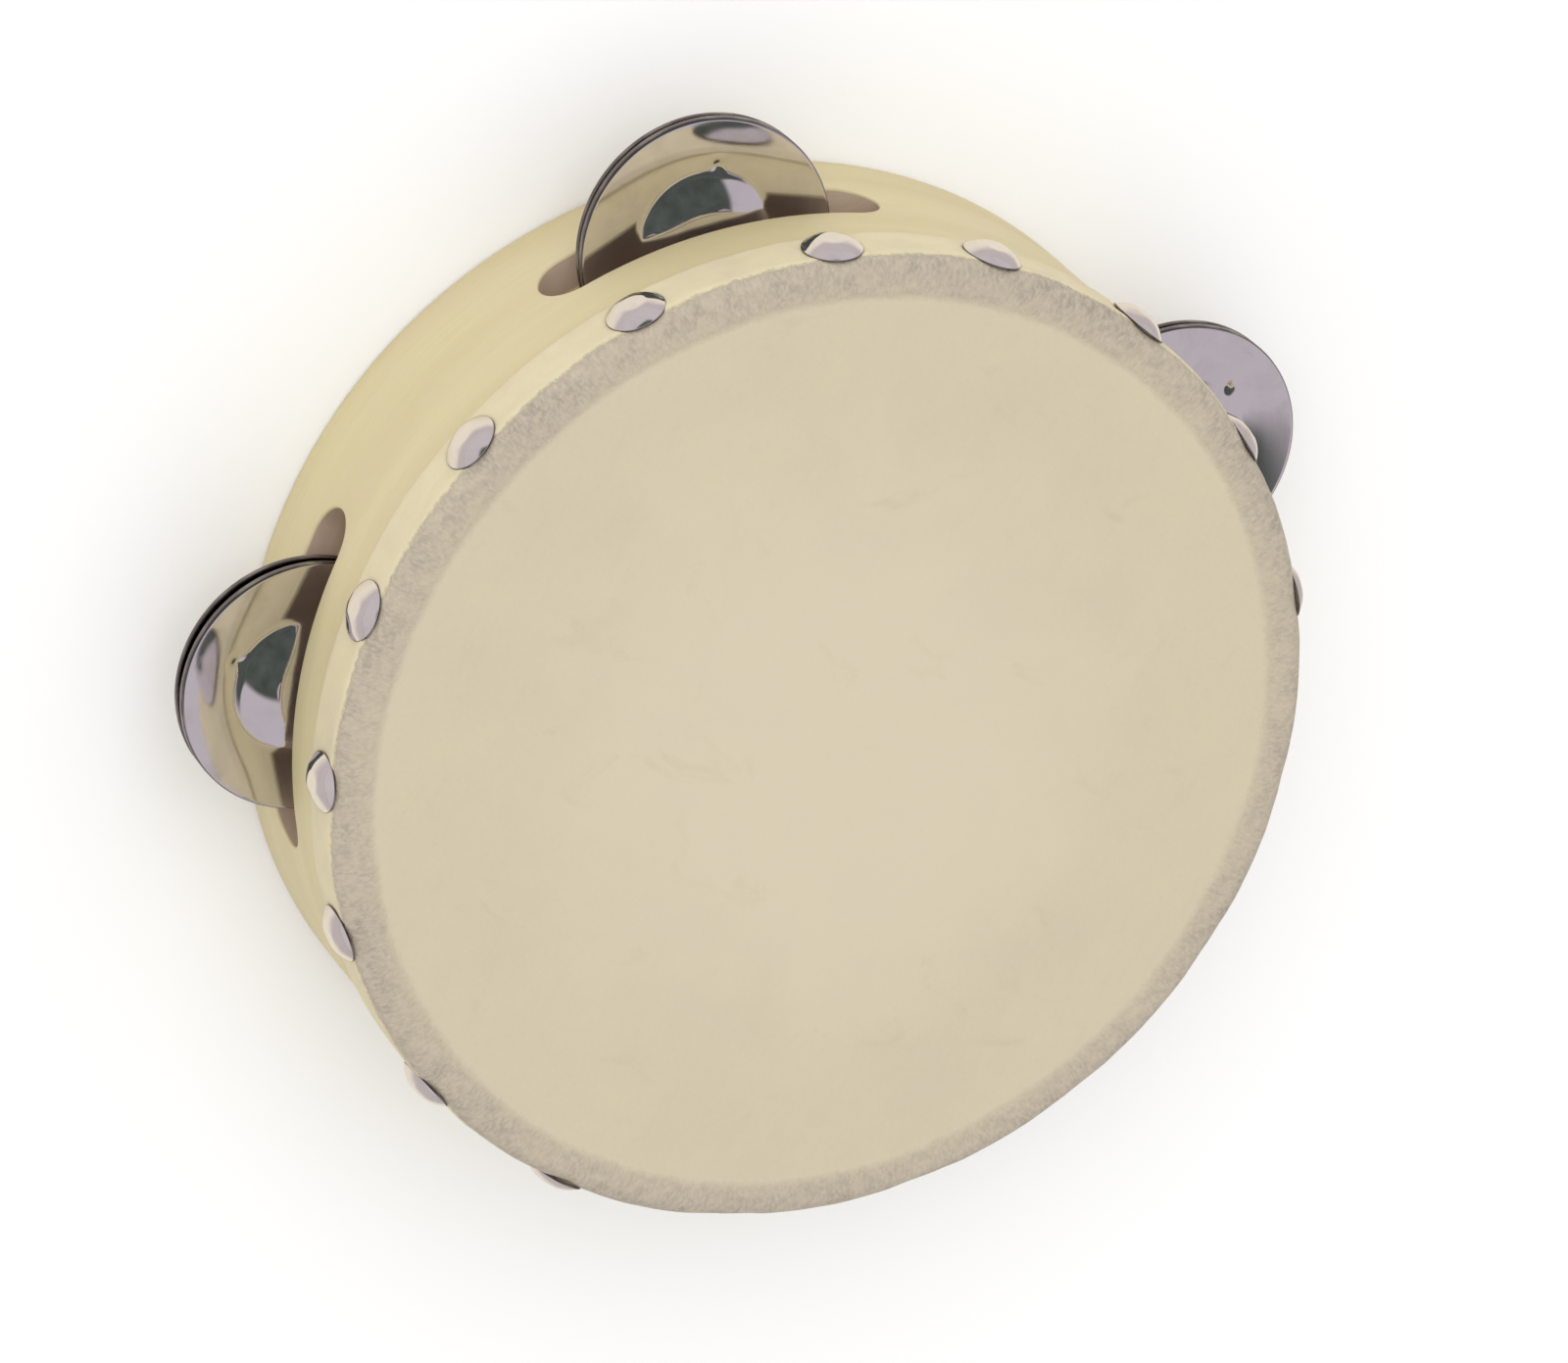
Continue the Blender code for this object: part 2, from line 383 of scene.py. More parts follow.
def slot_distance(slot, radius, turn, z):
    """How far a point of the wall lies outside a slot's outline, or 1 if it is well away."""
    angle, half_length, low, high = slot
    end = (high - low) / 2
    swing = swing_from(angle, turn)
    if abs(swing) > 1:
        return 1.0
    across = abs(radius * sin(swing))
    return hypot(max(0.0, across - (half_length - end)), z - (high + low) / 2) - end


def on_wall(slot, radius, across, z):
    """A slot point (across, z) on the wall of that radius, as (turn, z)."""
    swing = slot[0] + asin(across / radius)
    return ((swing - SEAM_ANGLE) % (2 * pi) + SEAM_ANGLE, z)


def wall_patch(surface, radius, low, high, slots):
    """The cylinder wall between two heights, with a hole where each slot opens."""
    flat = []
    edges = []
    for slot in slots:
        outline = [on_wall(slot, radius, *p) for p in slot_outline(slot, SLOT_EDGE_ROUND)]
        start = len(flat)
        count = len(outline)
        flat += outline
        edges += [(start + i, start + (i + 1) % count) for i in range(count)]
    rows = round((high - low) / WALL_ROW)
    inside = SLOT_EDGE_ROUND - 1e-5
    clear = SLOT_EDGE_ROUND + WALL_ROW / 2
    for i in range(TURN_STEPS + 1):
        turn = SEAM_ANGLE + 2 * pi * i / TURN_STEPS
        for j in range(rows + 1):
            z = low + (high - low) * j / rows
            if all(slot_distance(slot, radius, turn, z) > clear for slot in slots):
                flat.append((turn, z))
    spread = [Vector((turn * radius, z)) for turn, z in flat]
    found = delaunay_2d_cdt(spread, edges, [], 0, 1e-7)
    places, _, triangles = found[:3]
    kept = []
    for triangle in triangles:
        middle = sum((places[i] for i in triangle), Vector((0, 0))) / 3
        turn = middle.x / radius
        if all(slot_distance(slot, radius, turn, middle.y) > inside for slot in slots):
            kept.append(tuple(triangle))
    points = []
    for place in places:
        turn = place.x / radius
        points.append(Vector((radius * cos(turn), radius * sin(turn), place.y)))
    surface.add(points, [(p.x, p.y) for p in places], kept)


def slot_walls(surface, slot, outer, inner):
    """The cut faces of a slot, with their edges eased into the wall's two faces."""
    ease = SLOT_EDGE_ROUND
    turns = [pi / 2 * i / ROUND_STEPS for i in range(ROUND_STEPS + 1)]
    levels = [(outer - ease * (1 - cos(t)), ease * (1 - sin(t))) for t in turns]
    for i in range(1, SLOT_WALL_STEPS):
        levels.append((outer - ease - (outer - inner - 2 * ease) * i / SLOT_WALL_STEPS, 0.0))
    levels += [(inner + ease * (1 - cos(t)), ease * (1 - sin(t))) for t in reversed(turns)]
    rows = []
    grain_rows = []
    for radius, grow in levels:
        outline = slot_outline(slot, grow)
        outline.append(outline[0])
        place = Matrix.Rotation(slot[0], 3, "Z")
        rows.append([
            place @ Vector((sqrt(radius**2 - across**2), across, z)) for across, z in outline
        ])
        grain_rows.append([
            (slot[0] * outer + across, z + outer - radius) for across, z in outline
        ])
    last = len(rows) - 1
    parts = (
        (0, ROUND_STEPS, SANDED), (ROUND_STEPS, last - ROUND_STEPS, CUT),
        (last - ROUND_STEPS, last, SANDED),
    )
    for first, end, finish in parts:
        surface.add_rows(rows[first:end + 1], grain_rows[first:end + 1], finish)


def rim_rows(surface, profile, grain_start):
    """Turn a rim's profile round the drum, in step with the wall's columns."""
    rows = []
    grain_rows = []
    travelled = grain_start
    for i, (r, z) in enumerate(profile):
        if i:
            travelled += hypot(r - profile[i - 1][0], z - profile[i - 1][1])
        turns = [SEAM_ANGLE + 2 * pi * k / TURN_STEPS for k in range(TURN_STEPS + 1)]
        rows.append([Vector((r * cos(t), r * sin(t), z)) for t in turns])
        grain_rows.append([(t * profile[0][0], travelled) for t in turns])
    surface.add_rows(rows, grain_rows)


def make_shell(birch, cut_birch):
    """The bent wooden ring, with eased edges and round-ended slots."""
    inner, outer = node_radii("wood_shell")
    low, high = (corner.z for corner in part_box("wood_shell"))
    slots = shell_slots()
    ease = RIM_ROUND
    surface = Surface()
    wall_patch(surface, outer, low + ease, high - ease, slots)
    wall_patch(surface, inner, low + ease, high - ease, slots)
    for slot in slots:
        slot_walls(surface, slot, outer, inner)
    front = arc((outer - ease, high - ease), ease, 0, 90, ROUND_STEPS)
    front += run((outer - ease, high), (inner + ease, high), WALL_ROW)[1:]
    front += arc((inner + ease, high - ease), ease, 90, 180, ROUND_STEPS)
    back = arc((outer - ease, low + ease), ease, 0, -90, ROUND_STEPS)
    back += run((outer - ease, low), (inner + ease, low), WALL_ROW)[1:]
    back += arc((inner + ease, low + ease), ease, -90, -180, ROUND_STEPS)
    rim_rows(surface, front, high - ease)
    rim_rows(surface, back, low + ease)
    shell = surface.make("birch_shell", [birch, cut_birch])
    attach(shell, "drum")
    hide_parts("wood_shell")
    return shell


# ---------------------------------------------------------------- head

def tack_seats():
    """Each tack's node name, angle and height."""
    seats = []
    for name in nodes_named("tack_"):
        x, y, z = node_points(name).mean(axis=0)
        seats.append((name, atan2(y, x), z))
    return seats


def hide_profile(low, high, outer):
    """The skin's section, from the middle of its face round to the middle of its underside."""
    wood = node_radii("wood_shell")[1]
    inner = outer - HIDE_THICKNESS
    under = high - HIDE_THICKNESS
    fold = (outer - HIDE_FOLD, high - HIDE_FOLD)
    cut_round = HIDE_CUT / 2
    face = run((0, high), (FACE_END, high), FACE_ROW)
    face += run((FACE_END, high), (fold[0], high), EDGE_ROW)
    face += arc(fold, HIDE_FOLD, 90, 0, FOLD_STEPS)
    side = run((outer, fold[1]), (outer, low + HIDE_TAPER), SIDE_ROW)[1:]
    side += run((outer, low + HIDE_TAPER), (wood + HIDE_CUT, low + cut_round), TAPER_ROW)
    side += arc((wood + HIDE_CUT - cut_round, low + cut_round), cut_round, 0, -90, ROUND_STEPS)
    side.append((wood + HIDE_CONTACT, low))
    inside = run((inner, low + HIDE_TAPER_INSIDE), (inner, fold[1]), INSIDE_ROW)
    inside += arc(fold, HIDE_FOLD - HIDE_THICKNESS, 0, 90, FOLD_STEPS // 2)
    inside += run((fold[0], under), (0, under), 2 * FACE_ROW)[1:]
    inside.append((0, under))
    return face + side + inside


def face_height(point, r, drop):
    """How far the hide's face strays up or down: waves on the face and puckers at its edge."""
    wave = noise.noise(Vector((point.x, point.y, 0.2)) * 45) * smooth(0.07 - r, 0, 0.02)
    band = smooth(r, *BAND_PUCKER_EDGE) * (1 - drop)
    return FACE_WAVE * wave + BAND_PUCKER * noise.noise(point * 420) * band


def cut_height(spot, drop):
    """How far the uneven cut edge moves up or down, fading out towards the face."""
    wave = noise.noise(spot * 60 + Vector((0, 0, 3))) + 0.6 * noise.noise(spot * 220)
    return CUT_WAVE * wave * drop


def side_swell(spot, r, z, drop):
    """How far the side stands out in ripples, and lifts towards its cut edge."""
    ripple = noise.noise(spot * 110 + Vector((0, 0, z * 30)))
    ripple += 0.5 * noise.noise(spot * 330 + Vector((0, 0, z * 90)))
    on_side = (1 - 0.6 * drop) * smooth(r, *SIDE_RIPPLE_EDGE)
    return SIDE_RIPPLE * max(ripple, -0.2) * on_side + CUT_LIFT * drop**3


def dimple_swell(turn, r, z, outer, seats):
    """How far the tacks pull the hide in, with small folds round each of them."""
    swell = 0.0
    if r <= DIMPLE_START:
        return swell
    for _, angle, tack_z in seats:
        swing = swing_from(angle, turn)
        if abs(swing) < DIMPLE_TURN:
            away = hypot(swing * outer, z - tack_z)
            fold = cos(atan2(z - tack_z, swing * outer) * 5 + angle * 7)
            ring = (away - DIMPLE_FOLD_AT) / DIMPLE_FOLD_WIDTH
            swell -= DIMPLE_DEPTH * exp(-((away / DIMPLE_WIDTH) ** 2))
            swell += DIMPLE_FOLD * fold * exp(-ring * ring)
    return swell


def make_head(hide):
    """The hide: a thin skin over the front edge, pulled into dimples by the tacks."""
    low, high = (corner.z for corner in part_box("hide_head"))
    outer = node_radii("hide_head")[1]
    fold_z = high - HIDE_FOLD
    seats = tack_seats()

    def reshape(point, index, turn):
        r = hypot(point.x, point.y)
        z = point.z
        sag = FACE_SAG * (1 - smooth(r, *FACE_SAG_EDGE))
        if r < 1e-6:
            return Vector((0, 0, z - sag))
        drop = max(0.0, fold_z - z) / (fold_z - low)
        spot = Vector((cos(turn), sin(turn), 0)) * outer
        rise = cut_height(spot, drop) + face_height(point, r, drop) - sag
        swell = side_swell(spot, r, z, drop) + dimple_swell(turn, r, z, outer, seats)
        scale = (r + swell) / r
        return Vector((point.x * scale, point.y * scale, z + rise))

    profile = hide_profile(low, high, outer)
    head = turned("hide_skin", profile, HIDE_STEPS, [hide], reshape, 60)
    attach(head, "drum")
    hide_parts("hide_head")
    return head


# ---------------------------------------------------------------- tacks

def nearness(angle, middle, reach):
    """1 within reach[1] of an angle round the drum, falling to 0 at reach[0]."""
    return smooth(cos(angle - middle), cos(reach[0]), cos(reach[1]))


def make_tacks(nickel):
    """Low domed tacks, each knocked in at its own slight angle, with its top leaning in."""
    hide_radius = node_radii("hide_head")[1]
    for number, (name, angle, z) in enumerate(tack_seats(), start=1):
        points = node_points(name)
        outward = Vector((cos(angle), sin(angle), 0))
        along = points @ np.array(outward)
        head_radius = np.abs(points[:, 2] - z).max()
        jolt = [noise.noise(Vector((number * 1.7, k * 5.3, 0.5))) for k in range(2)]
        deep = nearness(angle, TACK_DEEP_ANGLE, TACK_DEEP_REACH)
        lean = TACK_LEAN_DEG + TACK_DEEP_LEAN_DEG * deep + TACK_JOLT_DEG * jolt[0]
        seat = hide_radius - TACK_SINK - TACK_DEEP_SINK * deep
        z -= TACK_DEEP_DROP * deep
        tip = along.min() - seat
        tack = tack_piece(f"tack_head_{number:02d}", number, head_radius, tip, nickel)
        tilt = Matrix.Rotation(radians(-lean), 4, "Y")
        tilt @= Matrix.Rotation(radians(TACK_JOLT_DEG * jolt[1]), 4, "X")
        place = Matrix.Translation(outward * seat + Vector((0, 0, z)))
        place @= Matrix.Rotation(angle, 4, "Z") @ Matrix.Rotation(pi / 2, 4, "Y")
        tack.matrix_world = place @ tilt
        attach(tack, "drum")
        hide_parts(name)


def tack_piece(name, number, radius, tip, nickel):
    """A low pressed dome with a thin edge on a pointed shank. Local +Z points out of the drum."""
    edge = TACK_EDGE
    cap = radius - edge
    sphere = (cap**2 + TACK_RISE**2) / (2 * TACK_RISE)

    def dome_height(r):
        return sqrt(sphere**2 - r**2) - (sphere - TACK_RISE) + edge

    profile = [(0, TACK_RISE + edge)]
    for i in range(1, TACK_DOME_STEPS + 1):
        r = cap * sin(pi / 2 * i / TACK_DOME_STEPS)
        profile.append((r, dome_height(r)))
    profile += arc((cap, 0), edge, 60, -90, TACK_EDGE_STEPS)
    profile += [(radius - 4 * edge, -edge), (radius - 6 * edge, edge), (TACK_SHANK, 2 * edge)]
    profile += [(TACK_SHANK, tip + TACK_POINT), (0, tip)]
    lopsided = [noise.noise(Vector((number * 2.9, 0.3, k * 4.1))) for k in range(2)]

    def dent(point, index, turn):
        if index > TACK_DOME_STEPS:
            return point
        push = TACK_DENT * noise.noise(point * 230 + Vector((number * 3.1, 0, 0)))
        push += TACK_FINE_DENT * noise.noise(point * 620 + Vector((0, number * 2.3, 0)))
        push *= smooth(radius - hypot(point.x, point.y), 0, TACK_DENT_EDGE)
        slope = lopsided[0] * point.x + lopsided[1] * point.y
        over = max(0.0, point.z - dome_height(TACK_FLAT) - TACK_FLAT_SLOPE * slope)
        return Vector((point.x, point.y, point.z - TACK_FLAT_SHARE * over + push))

    return turned(name, profile, TACK_STEPS, [nickel], dent, 50)


# ---------------------------------------------------------------- jingles and pins

def jingle_slope(r):
    """The pressed face's rise, for each metre along its surface, at a distance from the pin."""
    for (r0, deg0), (r1, deg1) in zip(JINGLE_SLOPES, JINGLE_SLOPES[1:]):
        if r <= r1:
            break
    return sin(radians(deg0 + (deg1 - deg0) * (r - r0) / (r1 - r0)))


def jingle_profile(radius, bore):
    """A jingle's closed outline with the top of its rim at z = 0 and the dome up."""
    ease = JINGLE_EDGE_ROUND
    end = radius - ease
    steps = round((end - bore) / JINGLE_ROW)
    pressed = [(bore, 0.0)]
    for i in range(steps):
        r, z = pressed[-1]
        move = (end - bore) / steps
        pressed.append((r + move, z + jingle_slope(r + move / 2) * move))
    pressed = [(r, z - pressed[-1][1]) for r, z in pressed]
    rim = arc((end, -ease), ease, 90, 0, JINGLE_EDGE_STEPS)[1:]
    lip = [(radius, JINGLE_LIP_BEVEL - JINGLE_LIP), (radius - JINGLE_LIP_BEVEL, -JINGLE_LIP)]
    sheet = JINGLE_SHEET
    under = [(radius - sheet, -JINGLE_LIP), (radius - sheet, -2 * sheet)]
    under.append((radius - 1.5 * sheet, -1.2 * sheet))
    under += [(r, z - sheet) for r, z in reversed(pressed[:-3])]
    return pressed + rim + lip + under + [pressed[0]]


def jingle_piece(name, radius, bore, number, dent_angle, nickel):
    """One jingle, slightly warped, with a small dent pressed at the dome's foot."""
    profile = jingle_profile(radius, bore)
    dent = DENT_AT * Vector((cos(dent_angle), sin(dent_angle)))

    def warp(point, index, turn):
        outer = smooth(hypot(point.x, point.y), JINGLE_WARP_START, radius)
        away = (point.xy - dent).length / DENT_WIDTH
        lift = JINGLE_UNEVEN * noise.noise(point * 110 + Vector((number * 4.3, 0, 0)))
        lift += JINGLE_WARP * cos(2 * turn + number) * outer
        lift -= DENT_DEPTH * exp(-away * away)
        return Vector((point.x, point.y, point.z + lift))

    return turned(name, profile, JINGLE_STEPS, [nickel], warp, 55)


def make_jingles(nickel):
    """The pressed jingles, each on its own body."""
    for number, name in enumerate(nodes_named("jingle_")):
        if "pin" in name:
            continue
        points = node_points(name)
        x, y, _ = points.mean(axis=0)
        reach = np.hypot(points[:, 0] - x, points[:, 1] - y)
        low, high = (corner.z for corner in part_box(name))
        upper = name.endswith("upper")
        pair = int(name.split("_")[1]) - 1
        dent_angle = atan2(y, x) + radians(DENT_TURNS_DEG[pair])
        if not upper:
            dent_angle = DENT_TURN_BETWEEN - dent_angle
        size = (reach.max(), reach.min())
        piece = jingle_piece(f"{name}_plate", *size, number, dent_angle, nickel)
        if upper:
            piece.matrix_world = Matrix.Translation((x, y, low + JINGLE_LIP))
        else:
            flip = Matrix.Rotation(pi, 4, "X")
            piece.matrix_world = Matrix.Translation((x, y, high - JINGLE_LIP)) @ flip
        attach(piece, name)
        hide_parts(name)


def make_pins(steel):
    """The wire pins, rounded at the top and pointed at the bottom."""
    for name in nodes_named("jingle_pin"):
        points = node_points(name)
        x, y, _ = points.mean(axis=0)
        radius = np.hypot(points[:, 0] - x, points[:, 1] - y).max()
        low, high = (corner.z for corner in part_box(name))
        ease = radius * 0.3
        point = low + 2 * radius
        profile = [(0, high)] + arc((radius - ease, high - ease), ease, 90, 0, ROUND_STEPS)
        profile += run((radius, high - ease), (radius, point), PIN_ROW)[1:]
        profile += [(radius, point), (0, low)]
        pin = turned(f"{name}_wire", profile, PIN_STEPS, [steel])
        pin.matrix_world = Matrix.Translation((x, y, 0))
        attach(pin, "drum")
        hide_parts(name)


# ---------------------------------------------------------------- materials

class Shader:
    """A material's node tree, with short ways to add its nodes. Each gives back its output."""

    def __init__(self, name):
        self.material = bpy.data.materials.new(name)
        self.material.use_nodes = True
        self.tree = self.material.node_tree
        self.surface = self.tree.nodes["Principled BSDF"]

    def set(self, node, socket, value):
        """Give a socket another node's output, or a plain value."""
        if isinstance(value, bpy.types.NodeSocket):
            self.tree.links.new(value, node.inputs[socket])
        elif isinstance(value, tuple) and len(value) == 3 and node.inputs[socket].type == "RGBA":
            node.inputs[socket].default_value = (*value, 1.0)
        else:
            node.inputs[socket].default_value = value

    def coordinates(self, kind):
        return self.tree.nodes.new("ShaderNodeTexCoord").outputs[kind]

    def stretched(self, vector, scale):
        node = self.tree.nodes.new("ShaderNodeMapping")
        self.set(node, "Vector", vector)
        self.set(node, "Scale", scale)
        return node.outputs[0]

    def noise(self, vector, scale, detail=3.0, roughness=0.5, distortion=0.0):
        node = self.tree.nodes.new("ShaderNodeTexNoise")
        self.set(node, "Vector", vector)
        self.set(node, "Scale", scale)
        self.set(node, "Detail", detail)
        self.set(node, "Roughness", roughness)
        self.set(node, "Distortion", distortion)
        return node.outputs["Fac"]

    def cells(self, vector, scale):
        node = self.tree.nodes.new("ShaderNodeTexVoronoi")
        self.set(node, "Vector", vector)
        self.set(node, "Scale", scale)
        return node.outputs["Distance"]

    def math(self, operation, first, second=0.0):
        node = self.tree.nodes.new("ShaderNodeMath")
        node.operation = operation
        self.set(node, 0, first)
        self.set(node, 1, second)
        return node.outputs[0]

    def range(self, value, low, high, to_low=0.0, to_high=1.0):
        """Carry low to to_low and high to to_high, with a smooth step between them."""
        node = self.tree.nodes.new("ShaderNodeMapRange")
        node.interpolation_type = "SMOOTHSTEP"
        self.set(node, "Value", value)
        self.set(node, "From Min", low)
        self.set(node, "From Max", high)
        self.set(node, "To Min", to_low)
        self.set(node, "To Max", to_high)
        return node.outputs["Result"]

    def mix(self, factor, first, second):
        node = self.tree.nodes.new("ShaderNodeMix")
        node.data_type = "RGBA"
        self.set(node, "Factor", factor)
        self.set(node, 6, first)
        self.set(node, 7, second)
        return node.outputs[2]

    def bump(self, height, distance, strength=1.0, before=None):
        node = self.tree.nodes.new("ShaderNodeBump")
        self.set(node, "Height", height)
        self.set(node, "Distance", distance)
        self.set(node, "Strength", strength)
        if before:
            self.set(node, "Normal", before)
        return node.outputs[0]

    def parts(self, vector):
        node = self.tree.nodes.new("ShaderNodeSeparateXYZ")
        self.set(node, "Vector", vector)
        return node.outputs[:]


def radius_of(s, place):
    """Distance from a piece's own Z axis."""
    x, y, _ = s.parts(place)
    return s.math("SQRT", s.math("ADD", s.math("POWER", x, 2), s.math("POWER", y, 2)))


def birch_material(name, pale, deep, pink):
    """Smooth bent birch: fine grain round the drum, soft blotches, short dark pores."""
    s = Shader(name)
    pore = tuple(0.6 * c for c in deep)
    grain = s.coordinates("UV")
    lines = s.noise(s.stretched(grain, (60, 2600, 1)), 1.0, 4.0, 0.6)
    broad = s.noise(s.stretched(grain, (9, 90, 1)), 1.0, 3.0, 0.5, 0.6)
    blotch = s.noise(s.stretched(grain, (300, 420, 1)), 1.0, 3.0, 0.6)
    cloud = s.noise(s.stretched(grain, (28, 40, 1)), 1.0, 3.0, 0.5)
    pores = s.noise(s.stretched(grain, (420, 5200, 1)), 1.0, 2.0, 0.5)
    colour = s.mix(s.range(broad, 0.3, 0.7), pale, deep)
    colour = s.mix(s.range(cloud, 0.35, 0.75, 0.0, 0.55), colour, pink)
    colour = s.mix(s.range(lines, 0.35, 0.75, 0.0, 0.35), colour, deep)
    colour = s.mix(s.range(blotch, 0.4, 0.75, 0.0, 0.30), colour, pink)
    colour = s.mix(s.range(pores, 0.66, 0.78, 0.0, 0.30), colour, pore)
    s.set(s.surface, "Base Color", colour)
    s.set(s.surface, "Roughness", s.range(lines, 0.2, 0.8, 0.46, 0.62))
    height = s.math("ADD", s.math("MULTIPLY", lines, 0.6), s.math("MULTIPLY", pores, -0.4))
    s.set(s.surface, "Normal", s.bump(height, 0.00006, 0.5))
    return s.material


def hide_face_colour(s, place, reach, soft, patch, fine, fibre):
    """Mottled cream, palest in the middle, with a few brown stains."""
    colour = s.mix(s.range(soft, 0.35, 0.7), (0.58, 0.51, 0.373), (0.566, 0.499, 0.366))
    colour = s.mix(s.range(patch, 0.4, 0.8, 0.0, 0.4), colour, (0.595, 0.518, 0.362))
    colour = s.mix(s.range(fibre, 0.5, 0.8, 0.0, 0.25), colour, (0.52, 0.455, 0.34))
    colour = s.mix(s.range(fine, 0.45, 0.75, 0.0, 0.18), colour, (0.50, 0.44, 0.33))
    uneven_reach = s.math("ADD", reach, s.math("MULTIPLY", soft, 0.03))
    middle = s.range(uneven_reach, 0.075, 0.035, 0.0, 0.6)
    colour = s.mix(middle, colour, (0.635, 0.565, 0.425))
    stain = s.noise(s.stretched(place, (70, 110, 90)), 1.0, 5.0, 0.65, 1.0)
    return s.mix(s.range(stain, 0.58, 0.76, 0.0, 0.38), colour, (0.50, 0.425, 0.295))


def hide_wavy_reach(s, place, reach):
    """The distance along the hide, made uneven so that the band's edges come out ragged."""
    sway = s.math("SUBTRACT", s.noise(place, 60, 3.0, 0.6), 0.5)
    ragged = s.math("SUBTRACT", s.noise(place, 1000, 4.0, 0.75), 0.5)
    reach = s.math("ADD", reach, s.math("MULTIPLY", sway, BAND_SWAY))
    return s.math("ADD", reach, s.math("MULTIPLY", ragged, BAND_RAGGED))


def hide_band(s, wavy):
    """How strong the band is: it grows from its soft inner edge to its sharper outer one."""
    start = s.range(wavy, BAND_START - BAND_START_SOFT, BAND_START + BAND_START_SOFT, 0.0, 0.72)
    growth = s.range(wavy, BAND_START, BAND_START + BAND_FADE, 0.0, 0.28)
    end = s.range(wavy, BAND_END + BAND_END_SOFT, BAND_END - BAND_END_SOFT)
    return s.math("MULTIPLY", s.math("ADD", start, growth), end)


def hide_band_colour(s, crease, pebble):
    """Grey brown with painted shade in the creases and a painted highlight on the pebbles between
    them.
    """
    # Painted shade and highlight: the colour follows the band's bump, darker in its dips and paler
    # on its raised pebbles.
    colour = s.mix(s.range(crease, 0.3, 0.7), (0.31, 0.268, 0.224), (0.43, 0.372, 0.294))
    return s.mix(s.range(pebble, 0.35, 0.7, 0.0, 0.7), colour, (0.515, 0.45, 0.35))


def hide_side_colour(s, patch):
    """Warm cream, with soft streaks round the side."""
    streak = s.noise(s.stretched(s.coordinates("UV"), (70, 260, 1)), 1.0, 4.0, 0.6)
    colour = s.mix(s.range(patch, 0.35, 0.75), (0.67, 0.59, 0.39), (0.625, 0.545, 0.375))
    return s.mix(s.range(streak, 0.45, 0.75, 0.0, 0.5), colour, (0.60, 0.51, 0.33))


def hide_material():
    """Cream hide: a greyer, pebbled band where it bends over the edge, brighter down the side."""
    s = Shader("hide")
    place = s.coordinates("Object")
    grain = s.coordinates("UV")
    reach = s.parts(grain)[1]
    soft = s.noise(place, 40, 4.0, 0.6, 0.4)
    patch = s.noise(place, 130, 4.0, 0.6)
    fine = s.noise(place, 1300, 3.0, 0.6)
    fibre = s.noise(s.stretched(place, (500, 90, 300)), 1.0, 4.0, 0.65, 0.8)
    pebble = s.noise(s.stretched(grain, (820, 900, 1)), 1.0, 2.0, 0.6, 0.4)
    crease = s.noise(place, 420, 4.0, 0.6, 0.3)

    wavy = hide_wavy_reach(s, place, reach)
    band = hide_band(s, wavy)
    side = s.range(wavy, BAND_END - BAND_END_SOFT, BAND_END + BAND_END_SOFT)
    colour = hide_face_colour(s, place, reach, soft, patch, fine, fibre)
    band_share = s.math("MULTIPLY", band, s.range(soft, 0.3, 0.7, 0.7, 1.0))
    colour = s.mix(band_share, colour, hide_band_colour(s, crease, pebble))
    colour = s.mix(side, colour, hide_side_colour(s, patch))
    speck = s.range(s.cells(place, 55), 0.040, 0.018, 0.0, 0.5)
    speck = s.math("MULTIPLY", speck, s.range(soft, 0.5, 0.6))
    s.set(s.surface, "Base Color", s.mix(speck, colour, (0.33, 0.24, 0.15)))
    s.set(s.surface, "Roughness", s.range(patch, 0.2, 0.8, 0.52, 0.68))
    rough_grain = s.math("MULTIPLY", s.math("ADD", pebble, crease), band)
    under = s.bump(rough_grain, 0.0003, 0.8)
    s.set(s.surface, "Normal", s.bump(s.math("ADD", fine, fibre), 0.00004, 0.5, under))
    return s.material


def bright_metal(name, tint, rim_shade_colour, gloss, rim_shade_from):
    """Bright plate with faint turning marks, dull smudges and a rim painted dark as shade."""
    s = Shader(name)
    place = s.coordinates("Object")
    dull = tuple(0.88 * c for c in tint)
    marks = s.noise(s.stretched(s.coordinates("UV"), (6, 9000, 1)), 1.0, 3.0, 0.6)
    smudge = s.noise(place, 160, 4.0, 0.6, 0.5)
    speck = s.noise(place, 1500, 2.0, 0.5)
    bright = s.mix(s.range(smudge, 0.4, 0.8), tint, dull)
    # Painted shade: past a set distance from the middle each piece's rim is painted dark, in place
    # of its shaded lip and edge.
    edge = (rim_shade_from - RIM_SHADE_SOFT, rim_shade_from + RIM_SHADE_SOFT)
    rim_shade = s.range(radius_of(s, place), *edge)
    rim_shade = s.math("MULTIPLY", rim_shade, s.range(smudge, 0.45, 0.65, 1.0, 0.75))
    s.set(s.surface, "Base Color", s.mix(rim_shade, bright, rim_shade_colour))
    s.set(s.surface, "Metallic", 1.0)
    rough = s.math("ADD", s.range(smudge, 0.35, 0.8, *gloss), s.range(speck, 0.6, 0.8, 0.0, 0.04))
    s.set(s.surface, "Roughness", s.math("ADD", rough, s.math("MULTIPLY", rim_shade, 0.2)))
    s.set(s.surface, "Normal", s.bump(marks, 0.000004, 0.3))
    return s.material


